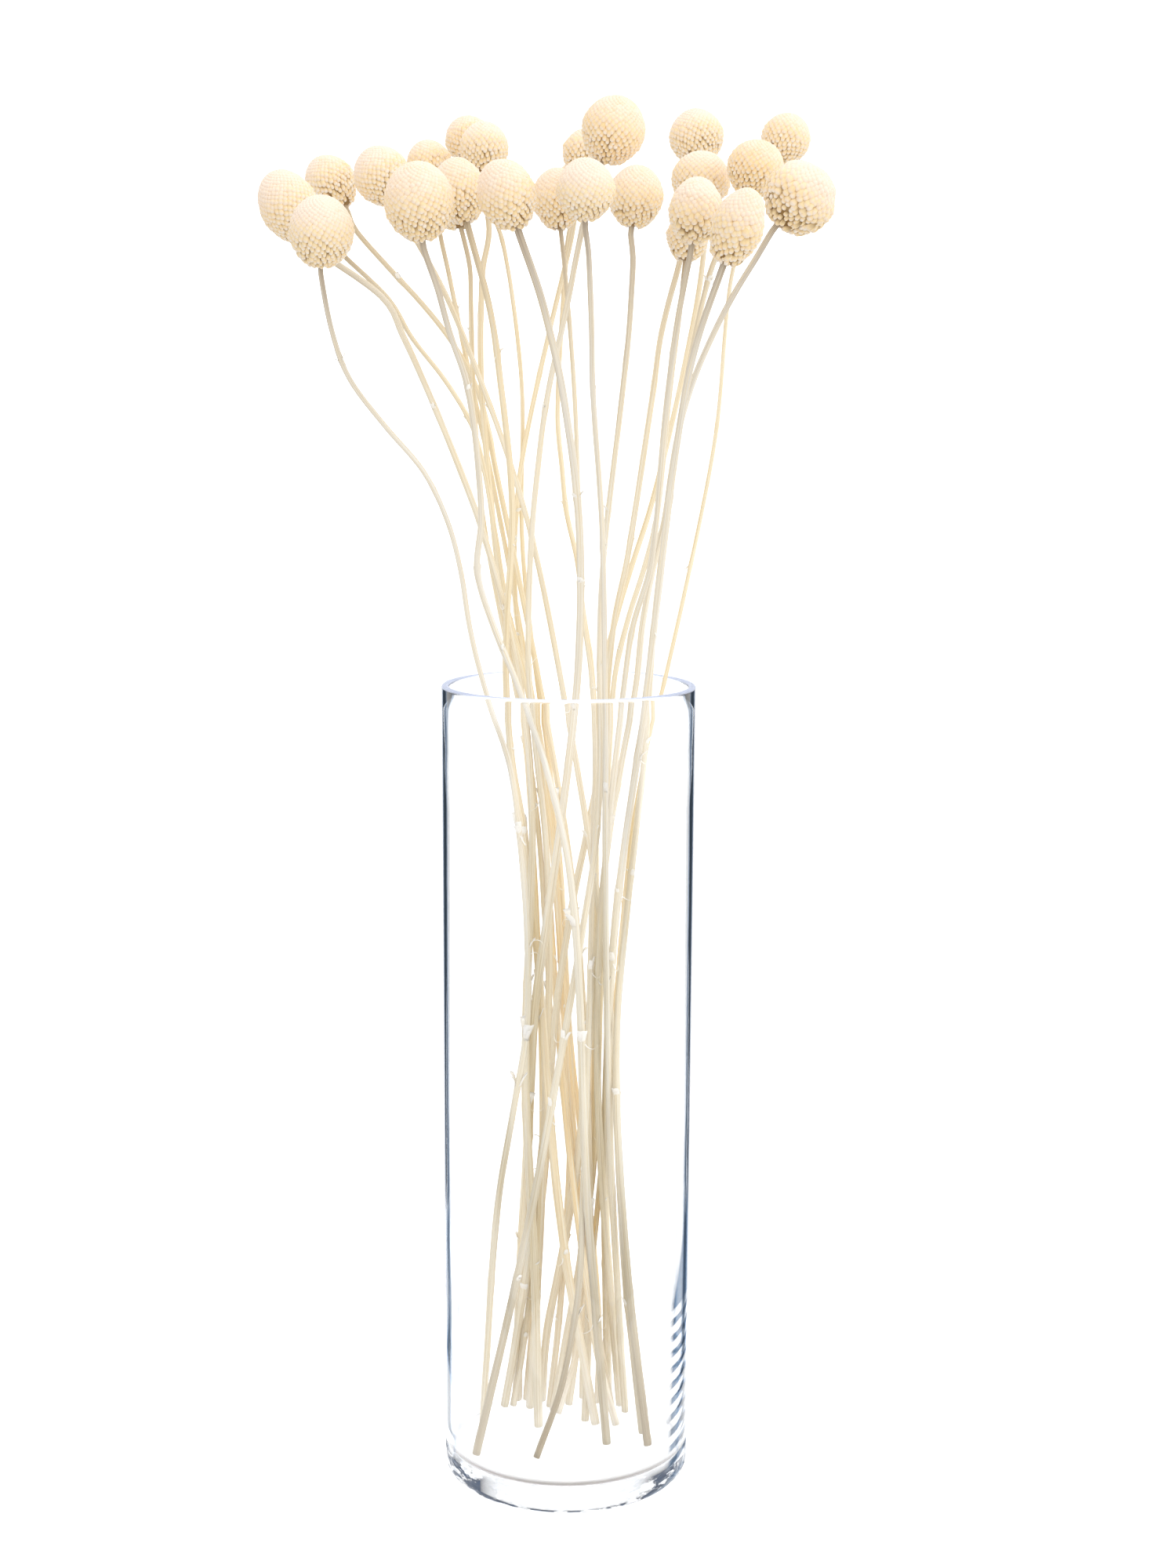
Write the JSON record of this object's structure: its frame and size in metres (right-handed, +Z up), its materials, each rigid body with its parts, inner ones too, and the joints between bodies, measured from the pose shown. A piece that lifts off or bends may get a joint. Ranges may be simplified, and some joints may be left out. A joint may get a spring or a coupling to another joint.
{
  "type": "dried billy buttons bouquet in glass vase",
  "caption": "Bouquet of bleached dried billy buttons, round flower heads on slim bare stems, standing in a tall clear glass cylinder vase.",
  "frame": {"origin": "middle of the vase's flat underside", "axes": "+Z up along the vase's axis, +X to the viewer's right, -Y towards the viewer"},
  "size_m": [0.2575, 0.222, 0.6633],
  "materials": {
    "clear_glass": "clear polished glass",
    "stem_straw": "dry matt straw stem, bleached",
    "floret_cream": "dry matt cream florets, golden in the creases"
  },
  "bodies": {
    "root": {"vase": "clear_glass", "stem_01": "stem_straw", "head_01": "floret_cream", "stem_02": "stem_straw", "head_02": "floret_cream", "stem_03": "stem_straw", "head_03": "floret_cream", "stem_04": "stem_straw", "head_04": "floret_cream", "stem_05": "stem_straw", "head_05": "floret_cream", "stem_06": "stem_straw", "head_06": "floret_cream", "stem_07": "stem_straw", "head_07": "floret_cream", "stem_08": "stem_straw", "head_08": "floret_cream", "stem_09": "stem_straw", "head_09": "floret_cream", "stem_10": "stem_straw", "head_10": "floret_cream", "stem_11": "stem_straw", "head_11": "floret_cream", "stem_12": "stem_straw", "head_12": "floret_cream", "stem_13": "stem_straw", "head_13": "floret_cream", "stem_14": "stem_straw", "head_14": "floret_cream", "stem_15": "stem_straw", "head_15": "floret_cream", "stem_16": "stem_straw", "head_16": "floret_cream", "stem_17": "stem_straw", "head_17": "floret_cream", "stem_18": "stem_straw", "head_18": "floret_cream", "stem_19": "stem_straw", "head_19": "floret_cream", "stem_20": "stem_straw", "head_20": "floret_cream", "stem_21": "stem_straw", "head_21": "floret_cream", "stem_22": "stem_straw", "head_22": "floret_cream", "stem_23": "stem_straw", "head_23": "floret_cream", "stem_24": "stem_straw", "head_24": "floret_cream", "stem_25": "stem_straw", "head_25": "floret_cream", "stem_26": "stem_straw", "head_26": "floret_cream"}
  },
  "joints": []
}
